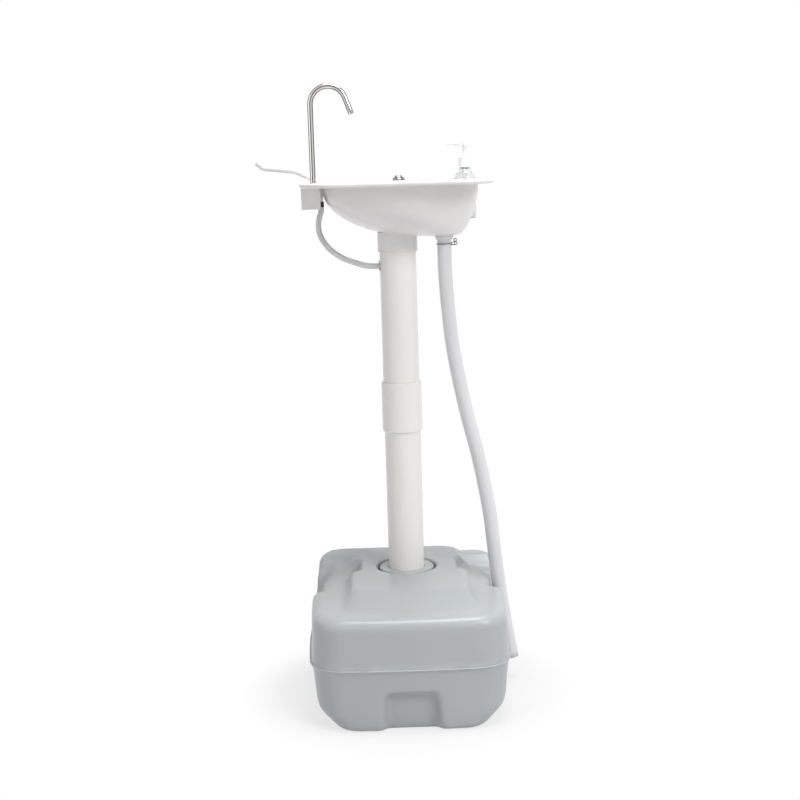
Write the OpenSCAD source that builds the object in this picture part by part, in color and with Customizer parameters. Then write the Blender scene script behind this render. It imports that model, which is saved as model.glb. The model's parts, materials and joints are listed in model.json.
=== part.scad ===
// Portable wash basin: a basin with a swivel spout on a two-piece pole,
// screwed into a moulded water tank with a built-in foot pump.
// Millimetres, +Z up. The origin is on the floor, on the axis of the pole.

/* [Tank] */
// Width of the tank at the moulding seam
tank_w = 330; // [310:1:380]
// Depth of the tank at the moulding seam
tank_d = 395; // [385:1:430]
// How far the front of the tank lies in front of the pole
tank_front = 257; // [247:1:267]
// Radius of the tank's upright corners
tank_r = 60; // [45:1:70]
// Height of the shoulders
shoulder_h = 190; // [180:1:200]
// Height of the raised middle above the shoulders
plateau_rise = 18; // [12:1:20]
// Height of the moulding seam
seam_h = 107; // [90:1:125]
// How far the seam stands proud
seam_proud = 1.6; // [1:0.1:2.5]
// Wall of the moulding
tank_wall = 3; // [2.5:0.1:4]
// How far the two sides bulge
side_bulge = 5; // [1:0.5:8]
// How far the front and back bulge
front_bulge = 3; // [1:0.5:5]
// Width of the bevel along the foot of each side
bevel_w = 36; // [28:1:42]
// Height of the bevel along the foot of each side
bevel_h = 32; // [26:1:40]
// Width of the hand recess in the front and back
grip_w = 96; // [80:1:110]
// Height of the hand recess in the front and back
grip_h = 66; // [50:1:80]
// Depth of the hand recess
grip_d = 20; // [16:1:30]
// Depth of the notch in each side of the top
notch_d = 36; // [28:1:44]
// Length of the notch in each side of the top
notch_l = 118; // [90:2:130]
// Width of the raised middle
plateau_w = 198; // [190:1:204]
// Height of the rear corner on the drain side above the shoulders
corner_rise = 8; // [4:1:12]
// Depth of the recess round the neck
recess_h = 27; // [24:1:32]

/* [Cap and pole] */
// Outside diameter of the two tubes
tube_d = 63; // [60:0.5:66]
// Wall of the two tubes
tube_wall = 3; // [2.5:0.1:4]
// Height at which the two tubes meet
joint_h = 497.5; // [450:0.5:550]
// Outside diameter of the sleeve over the joint
sleeve_d = 70; // [69.5:0.1:72]
// Length of the sleeve
sleeve_l = 87; // [70:1:100]
// Outside diameter of the screw cap
cap_d = 96; // [94:0.5:98]
// Dark gap around the screw cap
cap_gap = 5; // [4:0.5:6]
// How far the pole goes down into the cap
pole_sink = 33; // [25:1:38]
// Clearance between the tubes and what they push into, each side
tube_fit = 0.2; // [0.1:0.05:0.4]

/* [Basin] */
// Height of the top of the rim
rim_h = 889; // [820:1:950]
// Length of the rim from the spout end to the drain end
basin_l = 318; // [310:1:340]
// Width of the rim from front to back
basin_w = 360; // [350:1:400]
// Corner radius of the rim
basin_r = 75; // [70:1:85]
// Diameter of the rounded bead round the rim
bead_d = 8; // [7:0.5:9]
// Wall of the basin moulding
basin_wall = 3; // [2.5:0.1:3.5]
// Reach of the bowl from the pole toward the spout
bowl_left = 129; // [124:1:130]
// Reach of the bowl from the pole toward the drain end
bowl_right = 141; // [136:1:142]
// Width of the bowl from front to back
bowl_w = 290; // [270:1:296]
// Depth of the bowl below the deck
bowl_depth = 93; // [85:1:100]
// Depth of the apron under the spout end
apron_h = 39; // [30:1:45]
// Width of the apron from front to back
apron_w = 116; // [90:1:140]
// Outside diameter of the socket that takes the pole
socket_d = 68.5; // [68:0.1:72]
// How far the pole goes up into the socket
socket_sink = 21; // [16:1:24]

/* [Spout] */
// Diameter of the spout tube
spout_d = 9.5; // [8:0.1:10]
// Bore of the spout tube
spout_bore = 7.7; // [6:0.1:7.8]
// Distance of the spout from the pole
spout_x = 141; // [139:0.5:143]
// Height at which the bend starts, above the rim
spout_rise = 129; // [100:1:160]
// Radius of the bend
spout_bend = 30.5; // [25:0.5:40]
// How far round the spout bends
spout_turn = 162; // [150:1:180]
// Straight end of the spout
spout_end = 28; // [15:1:32]
// Running clearance of the spout in its bush, each side
spout_fit = 0.08; // [0.03:0.01:0.1]

/* [Drain] */
// Distance of the drain from the pole
drain_x = 80.5; // [78:0.5:84]
// Diameter of the drain flange
flange_d = 42; // [40:1:43]
// Diameter of the drain nut
nut_d = 32; // [31:0.5:35]
// Outside diameter of the drain hose
hose_d = 24.5; // [23.5:0.5:26]
// Bore of the drain hose
hose_bore = 19; // [18:0.5:20]
// Wire of the spring clamp
clamp_wire = 1.6; // [1.2:0.1:2]

/* [Supply hose] */
// Outside diameter of the supply hose
supply_d = 10; // [9:0.5:11]
// Bore of the supply hose
supply_bore = 6.4; // [6:0.1:7]
// Height at which the supply hose enters the pole
inlet_h = 743; // [735:1:745]

/* [Foot pump] */
// Distance of the pump from the pole, to the back
pump_y = 96; // [94:1:97]
// Diameter of the pump button
button_d = 56; // [52:1:58]
// Height of the button's crown above the ridge
button_rise = 10; // [6:1:14]
// Depth of the well that the pump stands in
well_depth = 24; // [22:1:28]
// Travel of the button
pump_travel = 12; // [6:1:12]
// Diameter of the pump barrel
barrel_d = 42; // [38:1:43]
// Running clearance of the pump rod, each side
rod_fit = 0.08; // [0.03:0.01:0.1]

/* [Soap pump] */
// Distance of the bottle from the pole toward the drain end
soap_x = 126; // [123:0.5:126]
// Distance of the bottle from the pole toward the back
soap_y = 125; // [122:0.5:126]
// Diameter of the bottle
bottle_d = 38; // [34:1:39]
// How far the bottle hangs below the deck
bottle_drop = 70; // [60:1:85]
// Height of the bottle's shoulder above the deck
shoulder_rise = 20; // [16:1:24]
// Diameter of the bottle closure
closure_d = 22.5; // [20:0.5:24]
// Height of the bottle closure
closure_h = 19.5; // [17:0.5:22]
// Travel of the pump head
soap_travel = 9; // [5:1:10]
// Reach of the pump spout
soap_reach = 30; // [24:1:36]

/* [Towel arm and tap cap] */
// Diameter of the towel arm's tube
arm_d = 10; // [9:0.1:11]
// Bore of the towel arm's tube
arm_bore = 8; // [6:0.1:8.4]
// Distance of the arm's foot from the pole toward the spout end
arm_x = 143; // [140:0.5:143]
// Distance of the arm's foot from the pole toward the back
arm_y = 98; // [60:1:104]
// Level length of the arm
arm_l = 66; // [40:1:90]
// Diameter of the chrome cap over the spare tap hole
tap_cap_d = 24; // [20:1:26]
// Height of the chrome cap
tap_cap_h = 9; // [6:0.5:12]

/* [Hidden] */
$fn = 64;

tank_mid = tank_d / 2 - tank_front;      // middle of the tank, front to back
tank_back = tank_d - tank_front;
plateau_h = shoulder_h + plateau_rise;
tube_r = tube_d / 2;
cap_r = cap_d / 2;
recess_r = cap_r + cap_gap;
recess_z = plateau_h - recess_h;         // floor of the recess round the neck
cap_top = plateau_h - 1;
neck_r = cap_r - 2.9;
neck_bore = neck_r - 4;
neck_top = cap_top - 7;
pole_foot = cap_top - pole_sink;
rib = 2;                                 // stop inside the sleeve
deck_t = basin_wall;
deck_z = rim_h - 3.5;                    // upper face of the deck
deck_under = deck_z - deck_t;
bead_r = bead_d / 2;
bead_z = rim_h - bead_r;
bowl_z = deck_under - bowl_depth + deck_t;
pole_top = rim_h - 121.5 + socket_sink;
socket_foot = rim_h - 121.5;
sump_r = 24;
sump_z = bowl_z + basin_wall;            // inner floor of the bowl
spout_r = spout_d / 2;
bend_z = rim_h + spout_rise;
thread_r = 12;                           // thread of the strainer that the drain nut runs on
thread_foot = bowl_z - 7.8;
drain_foot = bowl_z - 10.3;              // end face of the drain stack
supply_r = supply_d / 2;
pump_x = 1;                              // the pole hides it in front
pump_z = plateau_h - well_depth;         // seat of the pump flange
crown_z = plateau_h + button_rise;
rod_r = 5;
barrel_r = barrel_d / 2;
bottle_r = bottle_d / 2;
closure_z = deck_z + shoulder_rise;
head_z = closure_z + closure_h + 17.5;
arm_r = arm_d / 2;
tap_cap_x = 7;
tap_cap_y = basin_w / 2 - 20;

// A ring of points: a rectangle with round corners, seen from above. The four radii may differ,
// counted from the rear right one through rear left, and the sides may bulge.
function ring(x0, x1, y0, y1, radii, z, n = 6, bulge = [0, 0]) = [for (c = [0:3])
    let (k = (c + 1) % 4, r = is_list(radii) ? radii[c] : radii, rk = is_list(radii) ? radii[k] : radii,
        m = [(c == 0 || c == 3) ? x1 - r : x0 + r, c < 2 ? y1 - r : y0 + r],
        q = [(k == 0 || k == 3) ? x1 - rk : x0 + rk, k < 2 ? y1 - rk : y0 + rk],
        out = [-sin(90 * c), cos(90 * c)], b = bulge[(c + 1) % 2])
    each concat(
        [for (i = [0:n]) let (a = 90 * c + 90 * i / n) [m[0] + r * cos(a), m[1] + r * sin(a), z]],
        b == 0 ? [] : [for (t = [0.2:0.2:0.85]) let (p = m * (1 - t) + q * t + out * (r * (1 - t) + rk * t + b * 4 * t * (1 - t)))
            [p[0], p[1], z]])];

// A closed skin through rings that all have as many points
module skin(rings) {
    n = len(rings[0]);
    m = len(rings);
    pts = [for (r = rings, p = r) p];
    sides = [for (j = [0:m - 2], i = [0:n - 1]) let (a = j * n + i, b = j * n + (i + 1) % n)
        each [[a, a + n, b], [b, a + n, b + n]]];
    polyhedron(pts, concat(sides, [[for (i = [0:n - 1]) i]],
        [[for (i = [n - 1:-1:0]) (m - 1) * n + i]]));
}

// A rounded plate with flat faces
module plate(l, w, r, h) {
    linear_extrude(h) rounded(l, w, r);
}
module rounded(l, w, r) {
    square([l - 2 * r, w], center = true);
    square([l, w - 2 * r], center = true);
    for (x = [-1, 1], y = [-1, 1]) translate([x * (l / 2 - r), y * (w / 2 - r)]) circle(r);
}

// A round tube along straights and bends: [straight, bend radius, angle, twist].
// Each bend is a hair thicker than the straights that run into it.
module path(steps, r, bore, i = 0) {
    if (i < len(steps)) {
        s = steps[i];
        from = i > 0 ? 0.1 : 0;
        translate([0, 0, -from]) linear_extrude(s[0] + from + (s[2] > 0 ? 0.1 : 0)) wall_of(r, bore);
        translate([0, 0, s[0]]) rotate([0, 0, s[3]]) {
            if (s[2] > 0) translate([s[1], 0, 0]) rotate([90, 0, 0]) rotate([0, 0, 180 - s[2]])
                rotate_extrude(angle = s[2]) translate([s[1], 0]) wall_of(r + 0.02, bore - 0.02);
            translate([s[1] * (1 - cos(s[2])), 0, s[1] * sin(s[2])]) rotate([0, s[2], 0])
                path(steps, r, bore, i + 1);
        }
    }
}
module wall_of(r, bore) {
    difference() {
        circle(r);
        circle(bore);
    }
}

module tube(d, bore, h) {
    difference() {
        cylinder(d = d, h = h);
        translate([0, 0, -1]) cylinder(d = bore, h = h + 2);
    }
}

// A hose swept along points: each ring is square to the way it runs there
function unit(v) = v / norm(v);
function way(p, i) = unit(i == 0 ? p[1] - p[0] : i == len(p) - 1 ? p[i] - p[i - 1] :
    unit(p[i + 1] - p[i]) + unit(p[i] - p[i - 1]));
function hose_ring(c, t, side, r, n) = let (u = unit(cross(side, t)), v = cross(t, u))
    [for (k = [0:n - 1]) c + r * (cos(360 * k / n) * u + sin(360 * k / n) * v)];
module hose(p, r, n, side) {
    skin([for (i = [0:len(p) - 1]) hose_ring(p[i], way(p, i), side, r, n)]);
}
// The same with a bore, as one closed skin: out along the outside and back along the inside
module hollow_hose(p, r, bore, n, side) {
    m = len(p);
    rings = concat([for (i = [0:m - 1]) hose_ring(p[i], way(p, i), side, r, n)],
        [for (i = [m - 1:-1:0]) hose_ring(p[i], way(p, i), side, bore, n)]);
    polyhedron([for (q = rings, v = q) v],
        [for (j = [0:2 * m - 1], i = [0:n - 1]) let (a = j * n + i, b = j * n + (i + 1) % n,
            up = ((j + 1) % (2 * m)) * n, c = up + i, d = up + (i + 1) % n) each [[a, c, b], [b, c, d]]]);
}

// Shape of the tank: how far each side and end stands back from the seam, by height
side_table = [[0, 8 + bevel_w], [bevel_h * 0.35, 8 + bevel_w * 0.66], [bevel_h * 0.75, 8 + bevel_w * 0.27],
    [bevel_h, 8 + bevel_w * 0.08], [bevel_h * 1.35, 7.4], [seam_h, 1.6], [plateau_h + 1, 5]];
function hw(z) = tank_w / 2 - lookup(z, side_table);
function dy(z) = lookup(z, [[0, 5.6], [seam_h, 1.6], [plateau_h + 1, 6.4]]);
function rc(z) = lookup(z, [[0, 34], [bevel_h * 1.35, tank_r - 4], [plateau_h, tank_r - 4]]);
function level(z, e, g) = ring(-hw(z) + e + g, hw(z) - e - g,
    -tank_front + dy(z) + e + g, tank_back - dy(z) - e - g, rc(z) - e - g, z, 7, [side_bulge, front_bulge]);
function tank_rings(g, rt = 17, rb = 6) = concat(
    [for (a = [0:30:90]) level(g + rb * (1 - cos(a)), rb * (1 - sin(a)), g)],
    [for (z = [bevel_h * 0.35, bevel_h * 0.75, bevel_h, bevel_h * 1.35, seam_h - 1.2, seam_h + 1.2, seam_h + 40]) level(z, 0, g)],
    [for (a = [0:18:90]) level(shoulder_h - rt + (rt - g) * sin(a), (rt - g) * (1 - cos(a)), g)]);

// The raised middle, with its long ramp toward the front and its sloping sides
plateau_x = 3;
plateau_front = 207;
module plateau(g) {
    w = plateau_w / 2;
    skin([for (k = [[-7, 19, 5], [0, 14, 2], [plateau_rise * 0.3, 8, 18], [plateau_rise * 0.65, 3, 36],
                    [plateau_rise * 0.9, 0.4, 50], [plateau_rise * 0.98, -2, 60], [plateau_rise, -5, 70]])
        ring(plateau_x - w - k[1] + g, plateau_x + w + k[1] - g, -plateau_front + k[2] + g, 104 - g,
            24, shoulder_h + k[0] - g)]);
}
// Radius of the rear corners of the raised parts, which follow the tank's own
function rear_r(dz, inset, depth) = min(rc(shoulder_h + dz) - 0.6 - inset, depth - 9);
// The ridge along the back: it fills the rear corner on the spout side
ridge_end = 104;
module ridge(g) {
    skin([for (k = [[-50, 0, 26], [-8, 0, 33], [0, 0, 40], [plateau_rise * 0.4, 0.3, 50], [plateau_rise * 0.62, 1.6, 57],
                    [plateau_rise * 0.83, 4, 66], [plateau_rise * 0.95, 7, 74], [plateau_rise, 11, 84]])
        let (z = shoulder_h + k[0], y0 = k[2] + g, y1 = tank_back - dy(z) - 0.6 - k[1] - g,
            r = rear_r(k[0], k[1] + g, y1 - y0))
        ring(-hw(z) + 0.6 + k[1] + g, ridge_end - k[1] - g, y0, y1, [min(36, r), r, 8, 8], z - g, 7)]);
}
// The rear corner on the drain side, a little lower than the ridge
module corner(g) {
    skin([for (k = [[-50, 0, 60], [-8, 0, 70], [0, 0.6, 78], [corner_rise * 0.5, 3, 83], [corner_rise * 0.85, 6, 88], [corner_rise, 10, 93]])
        let (z = shoulder_h + k[0], y0 = k[2] + g, y1 = tank_back - dy(z) - 0.6 - k[1] - g,
            r = rear_r(k[0], k[1] + g, y1 - y0))
        ring(78, hw(z) - 0.6 - k[1] - g, y0, y1, [r, 5, 5, 8], z - g, 7)]);
}

// Hand recess under the front or back edge
module grips(g) {
    for (s = [-1, 1]) translate([0, s < 0 ? 0 : 2 * tank_mid, 0]) rotate([90, 0, s < 0 ? 0 : 180])
        skin([for (k = [[-grip_d - g, -9], [3 - grip_d, -6.6], [-13, -3.5], [-7, 0], [-3, 3.4], [-1, 5.8], [1, 9], [12, 16]])
            [for (q = ring(-grip_w / 2 - k[1] - g, grip_w / 2 + k[1] + g, -20, grip_h + k[1] / 2 + g, 12,
                tank_front + k[0], 4)) [q[0] * (1 - 0.0018 * q[1]), q[1], q[2]]]]);
}

// Notch in each side of the top, for a hand and for the hose
notch_mid = -16;
module notches(g) {
    for (s = [0, 1]) mirror([s, 0, 0])
        skin([for (k = [[-notch_d, 8, 12], [6 - notch_d, 2, 4], [-16, 0, 0], [-9, -3, -2], [-4, -8, -5],
            [-1.5, -12, -8], [1, -17, -11], [24, -25, -16]])
            ring(149 + k[1] - g, 220, notch_mid - notch_l / 2 + k[2] - g, notch_mid + notch_l / 2 - k[2] + g, 12,
                shoulder_h + k[0] - g * (k[0] < 0 ? 1 : 0), 4)]);
    // the hollow behind the shoulder on the drain side
    skin([for (k = [[-13, 66, 73], [-9, 62, 77], [-3, 58, 82], [-1, 57, 85], [1, 55, 88], [5, 53, 92], [14, 50, 104]])
        ring(84, 220, k[1] - g, k[2] + g, 3, shoulder_h + k[0] - g * (k[0] < 0 ? 1 : 0), 4)]);
    // and the rounded corner between that hollow and the notch
    difference() {
        translate([108, 22, shoulder_h - 13 - g]) cube([92, 50, 40]);
        translate([108, 22, shoulder_h]) rotate_extrude()
            polygon([[0, -30], [42 - g, -30], [42 - g, -13], [39.5 - g, -9], [35.5 - g, -4], [32 - g, -1.5], [27 - g, 1], [20, 5], [0, 5]]);
    }
}
// Pocket at the rear of each side of the raised middle
module pockets(g) {
    for (s = [-1, 1]) translate([plateau_x, 0, 0]) mirror([s < 0 ? 1 : 0, 0, 0])
        skin([for (k = [[-1, 4, 6], [3, 0, 1], [plateau_rise * 0.6, -1, 0], [plateau_rise * 0.9, -3, -2], [plateau_rise + 0.3, -6, -5], [plateau_rise + 8, -10, -9]])
            ring(plateau_w / 2 - 11 + k[1] - g, plateau_w / 2 + 24, -22 + k[2] - g, 44 - k[2] + g, 11,
                shoulder_h + k[0] - g * (k[0] < 4 ? 1 : 0), 4)]);
}
// Shallow groove down each side for the hose
hose_y = -20;
lean = atan2(27, 179);
module channels(g) {
    for (s = [0, 1]) mirror([s, 0, 0])
        translate([184.5, hose_y, 36]) rotate([0, -lean, 0]) cylinder(r = hose_d / 2 + 4 + g, h = 190);
}

pump_well = button_d / 2 + 2.5;
module tank() {
    color([0.64, 0.68, 0.7]) difference() {
        union() {
            difference() {
                union() {
                    skin(tank_rings(0));
                    plateau(0);
                    ridge(0);
                    corner(0);
                    skin([for (k = [[-1.5, 0], [-0.7, seam_proud], [0.7, seam_proud], [1.5, 0]])
                        ring(-tank_w / 2 - k[1], tank_w / 2 + k[1], -tank_front - k[1], tank_back + k[1],
                            tank_r + k[1], seam_h + k[0], 7, [side_bulge, front_bulge])]);
                }
                grips(0);
                notches(0);
                pockets(0);
                channels(0);
                translate([0, 0, recess_z]) cylinder(r = recess_r, h = 80);
                translate([pump_x, pump_y, pump_z]) cylinder(r = pump_well, h = 80);
                difference() {
                    union() {
                        skin(tank_rings(tank_wall));
                        plateau(tank_wall);
                        ridge(tank_wall);
                        corner(tank_wall);
                    }
                    grips(tank_wall);
                    notches(tank_wall);
                    pockets(tank_wall);
                    channels(tank_wall);
                    translate([0, 0, recess_z - tank_wall]) cylinder(r = recess_r + tank_wall, h = 80);
                    translate([pump_x, pump_y, pump_z - tank_wall]) cylinder(r = pump_well + tank_wall, h = 80);
                }
            }
            translate([0, 0, recess_z - 1]) cylinder(r = neck_r, h = neck_top - recess_z + 1);
        }
        translate([0, 0, recess_z - 10]) cylinder(r = neck_bore, h = 80);
        translate([pump_x, pump_y, pump_z - 10]) cylinder(r = barrel_r + 0.3, h = 80);
    }
}

// Screw cap over the neck, with the socket that carries the pole
module tank_cap() {
    in_r = tube_r + tube_fit;
    color([0.62, 0.66, 0.68]) difference() {
        union() {
            translate([0, 0, cap_top - 4]) rotate_extrude()
                polygon([[0, 0], [cap_r, 0], [cap_r, 2.5], [cap_r - 1.5, 4], [0, 4]]);
            translate([0, 0, recess_z + 2]) cylinder(r = cap_r, h = cap_top - 4 - recess_z - 2);
            translate([0, 0, pole_foot - 3]) cylinder(r = in_r + 3, h = pole_sink + 3 - 0.5);
        }
        // room for the neck, outside the socket
        difference() {
            translate([0, 0, recess_z]) cylinder(r = neck_r + 0.3, h = cap_top - 4 - recess_z);
            cylinder(r = in_r + 3, h = plateau_h);
        }
        translate([0, 0, pole_foot]) cylinder(r = in_r, h = 60);
        translate([0, 0, cap_top - 1.5]) cylinder(r1 = in_r - 0.3, r2 = in_r + 1.6, h = 1.8);
        cylinder(r = tube_r - tube_wall - 2, h = plateau_h);
        // grip flutes round the skirt
        for (a = [0:15:359]) rotate(a) translate([cap_r + 2.2, 0, recess_z])
            cylinder(r = 3, h = cap_top - 6 - recess_z);
    }
}
module cap_gasket() {
    color([0.12, 0.12, 0.13]) translate([0, 0, neck_top])
        tube(2 * (neck_r - 0.2), 2 * (neck_bore + 0.4), cap_top - 4 - neck_top);
}

module lower_tube() {
    color([0.91, 0.9, 0.87]) translate([0, 0, pole_foot])
        tube(tube_d, tube_d - 2 * tube_wall, joint_h - rib / 2 - pole_foot);
}
module sleeve() {
    r = sleeve_d / 2;
    color([0.93, 0.92, 0.9]) translate([0, 0, joint_h - sleeve_l / 2]) rotate_extrude()
        polygon([[tube_r + tube_fit, 0], [r - 1.2, 0], [r, 1.5], [r, sleeve_l - 1.5], [r - 1.2, sleeve_l],
            [tube_r + tube_fit, sleeve_l], [tube_r + tube_fit, sleeve_l / 2 + rib / 2],
            [tube_r - tube_wall, sleeve_l / 2 + rib / 2], [tube_r - tube_wall, sleeve_l / 2 - rib / 2],
            [tube_r + tube_fit, sleeve_l / 2 - rib / 2]]);
}
grommet_r = supply_r + 2.6;
module upper_tube() {
    color([0.92, 0.91, 0.89]) difference() {
        translate([0, 0, joint_h + rib / 2])
            tube(tube_d, tube_d - 2 * tube_wall, pole_top - joint_h - rib / 2);
        translate([0, 0, inlet_h]) rotate([0, -90, 0]) cylinder(r = grommet_r, h = tube_r + 5);
    }
}
// Rubber ring in the hole of the upper tube, with a lip on each side of the wall
module grommet_profile() {
    t = tube_r - tube_wall;
    polygon([[supply_r + 0.2, t - 1.2], [grommet_r - 0.2, t - 1.2], [grommet_r - 0.2, tube_r + 0.3],
        [grommet_r + 1.6, tube_r + 0.3], [grommet_r + 1.6, tube_r + 1.6], [supply_r + 0.2, tube_r + 1.6]]);
}
module hose_grommet() {
    color([0.85, 0.85, 0.83]) translate([0, 0, inlet_h]) rotate([0, -90, 0])
        rotate_extrude() grommet_profile();
}

// The bowl: ellipses that drift toward the drain as they go down
function fall(s) = pow(1 - (1 - s) * (1 - s), 0.45);
function bowl_ring(s, g, n = 48) = let (
    x0 = drain_x - sump_r - (bowl_left + drain_x - sump_r) * fall(s) + g,
    x1 = drain_x + sump_r + (bowl_right - drain_x - sump_r) * pow(sin(90 * s), 0.64) - g,
    b = sump_r + (bowl_w / 2 - sump_r) * fall(s) - g)
    [for (i = [0:n - 1]) [(x0 + x1) / 2 + (x1 - x0) / 2 * cos(360 * i / n), b * sin(360 * i / n),
        bowl_z + (deck_under - bowl_z) * s + (g > 0 ? g * (1 - s) : 0)]];
bowl_steps = [0, 0.03, 0.08, 0.15, 0.25, 0.37, 0.5, 0.65, 0.82, 1];
module bowl_skin(g, up) {
    skin(concat([for (s = bowl_steps) bowl_ring(s, g)],
        [[for (p = bowl_ring(1, g)) [p[0], p[1], deck_under + up]]]));
}
// The rounded bead round the rim: four rods and four quarter rings
module bead() {
    for (s = [0, 1]) mirror([s, 0, 0]) for (t = [0, 1]) mirror([0, t, 0]) {
        translate([basin_l / 2 - basin_r, basin_w / 2 - basin_r, bead_z])
            rotate_extrude(angle = 90) translate([basin_r - bead_r, 0]) circle(bead_r);
        translate([basin_l / 2 - bead_r, 0, bead_z]) rotate([-90, 0, 0])
            cylinder(r = bead_r, h = basin_w / 2 - basin_r);
        translate([0, basin_w / 2 - bead_r, bead_z]) rotate([0, 90, 0])
            cylinder(r = bead_r, h = basin_l / 2 - basin_r);
    }
}
bush_hole = spout_r + 2.5;
arm_hole = arm_r + 1.2;
bottle_hole = bottle_r + 0.4;
module basin() {
    color([0.95, 0.95, 0.94]) difference() {
        union() {
            translate([0, 0, deck_under]) plate(basin_l - bead_d, basin_w - bead_d, basin_r - bead_r, deck_t);
            bead();
            bowl_skin(0, 1);
            // socket for the pole, moulded under the bowl
            translate([0, 0, socket_foot]) cylinder(d = socket_d, h = bowl_z + 8 - socket_foot);
            // apron under the spout end, with its two short webs
            translate([-basin_l / 2, -apron_w / 2, deck_z - 2 - apron_h]) difference() {
                cube([32, apron_w, apron_h]);
                translate([2.5, 2.5, -1]) cube([40, apron_w - 5, apron_h + 2]);
            }
            for (s = [-1, 1]) translate([-spout_x + 7, s * apron_w / 4 - 1.25, deck_under - 13]) cube([14, 2.5, 14]);
        }
        bowl_skin(basin_wall, 10);
        translate([0, 0, socket_foot - 1]) cylinder(r = tube_r + tube_fit, h = socket_sink + 1);
        translate([drain_x, 0, bowl_z - 10]) cylinder(r = thread_r + 0.4, h = 30);
        translate([-spout_x, 0, deck_under - 30]) cylinder(r = bush_hole, h = 60);
        translate([soap_x, soap_y, deck_under - 5]) cylinder(r = bottle_hole, h = 30);
        translate([-arm_x, arm_y, deck_under - 5]) cylinder(r = arm_hole, h = 30);
        translate([tap_cap_x, tap_cap_y, deck_under - 5]) cylinder(r = 6.2, h = 30);
    }
}

// The spout turns in a flanged bush held from below by a nut
module spout_bush() {
    color([0.9, 0.9, 0.9]) translate([-spout_x, 0, deck_under - 11]) rotate_extrude()
        polygon([[spout_r + spout_fit, 0], [bush_hole - 0.1, 0], [bush_hole - 0.1, 11 + deck_t],
            [bush_hole + 1.2, 11 + deck_t], [bush_hole + 1.2, 11.6 + deck_t], [bush_hole + 0.6, 12.2 + deck_t],
            [spout_r + spout_fit, 12.2 + deck_t]]);
}
module spout_nut() {
    color([0.9, 0.9, 0.9]) translate([-spout_x, 0, deck_under - 5]) difference() {
        cylinder(r = bush_hole + 3.2, h = 5, $fn = 6);
        translate([0, 0, -1]) cylinder(r = bush_hole - 0.1, h = 7);
    }
}
tail_z = deck_under - 29;
module spout() {
    steps = [[bend_z - tail_z, spout_bend, spout_turn, 0], [spout_end, 1, 0, 0]];
    color([0.75, 0.75, 0.76]) translate([-spout_x, 0, tail_z]) path(steps, spout_r, spout_bore / 2);
}
// Black fitting on the tail: a socket with a seal, a short arm and an outlet that points down
elbow_x = 12;
elbow_z = tail_z - 7;
module supply_elbow() {
    color([0.08, 0.08, 0.09]) translate([-spout_x, 0, elbow_z]) difference() {
        union() {
            cylinder(r = spout_r + 2.2, h = 22);
            translate([0, 0, 4.5]) rotate([0, 90, 0]) cylinder(r = 4.5, h = elbow_x);
            translate([elbow_x, 0, 0]) cylinder(r = 5.4, h = 9);
            translate([elbow_x, 0, -9]) cylinder(d = supply_bore - 0.4, h = 10);
        }
        translate([0, 0, 7]) cylinder(r = spout_r + spout_fit, h = 20);
        translate([0, 0, 2]) cylinder(r = 2.2, h = 20);
        translate([0, 0, 4.5]) rotate([0, 90, 0]) cylinder(r = 2, h = elbow_x);
        translate([elbow_x, 0, -10]) cylinder(r = 2, h = 16);
    }
}

// The supply hose bows out beside the bowl and goes into the pole
supply_points = [[-129, 0, 846.5], [-129, 0, 839], [-132, 0, 829], [-134, 0, 818], [-134, 0, 807],
    [-131, 0, 796], [-125, 0, 785], [-116, 0, 774], [-104, 0, 764], [-90, 0, 756], [-74, 0, 750],
    [-58, 0, 745], [-42, 0, 743], [-29, 0, 743]];
module supply_hose() {
    color([0.88, 0.89, 0.9]) hollow_hose(supply_points, supply_r, supply_bore / 2, 10, [0, 1, 0]);
}
// Inside the pole and the tank it runs on to the pump's outlet
riser_points = [[-29, 0, 743], [-20, 0, 743], [-10, 1, 738], [-1, 2, 727], [5, 3, 711], [8, 3, 690],
    [9, 3, 640], [9, 3, 560], [9, 3, 480], [9, 3, 400], [9, 3, 320], [9, 3, 240], [9, 3, 194], [8, 3, 178],
    [7, 7, 162], [6, 15, 150], [4, 28, 141], [2, 43, 138], [1, 57, 138], [1, 70, 138]];
module riser_hose() {
    color([0.88, 0.89, 0.9]) hollow_hose(riser_points, supply_r, supply_bore / 2, 10, [0.5, -0.8, 0.3]);
}

// Drain: a flanged strainer in the sump, a gasket and nut below, a tail for the hose
module drain_flange() {
    r = flange_d / 2;
    color([0.78, 0.78, 0.78]) translate([drain_x, 0, 0]) difference() {
        union() {
            translate([0, 0, sump_z]) rotate_extrude()
                polygon([[0, 0], [r, 0], [r, 0.8], [r - 2, 2], [13.5, 2], [12.5, 0.8], [0, 0.8]]);
            translate([0, 0, thread_foot]) cylinder(r = thread_r, h = sump_z - thread_foot + 0.5);
        }
        translate([0, 0, thread_foot - 1]) cylinder(r = thread_r - 1.8, h = sump_z - thread_foot);
        for (k = [[0, 0], [4.2, 6], [8.6, 12]]) for (i = [0:max(k[1], 1) - 1])
            rotate(k[1] == 0 ? 0 : 360 * i / k[1]) translate([k[0], 0, sump_z - 2]) cylinder(r = 1.5, h = 6, $fn = 24);
    }
}
module drain_gasket() {
    color([0.9, 0.9, 0.9]) translate([drain_x, 0, bowl_z - 1.5]) tube(nut_d - 1, 2 * thread_r + 0.6, 1.5);
}
module drain_nut() {
    color([0.94, 0.94, 0.93]) translate([drain_x, 0, bowl_z - 7.5]) difference() {
        cylinder(d1 = nut_d - 4, d2 = nut_d, h = 6);
        translate([0, 0, -1]) cylinder(r = thread_r + 0.2, h = 8);
        for (a = [0:30:359]) rotate(a) translate([nut_d / 2 + 1.2, 0, -1]) cylinder(r = 1.8, h = 8, $fn = 24);
    }
}
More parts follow.
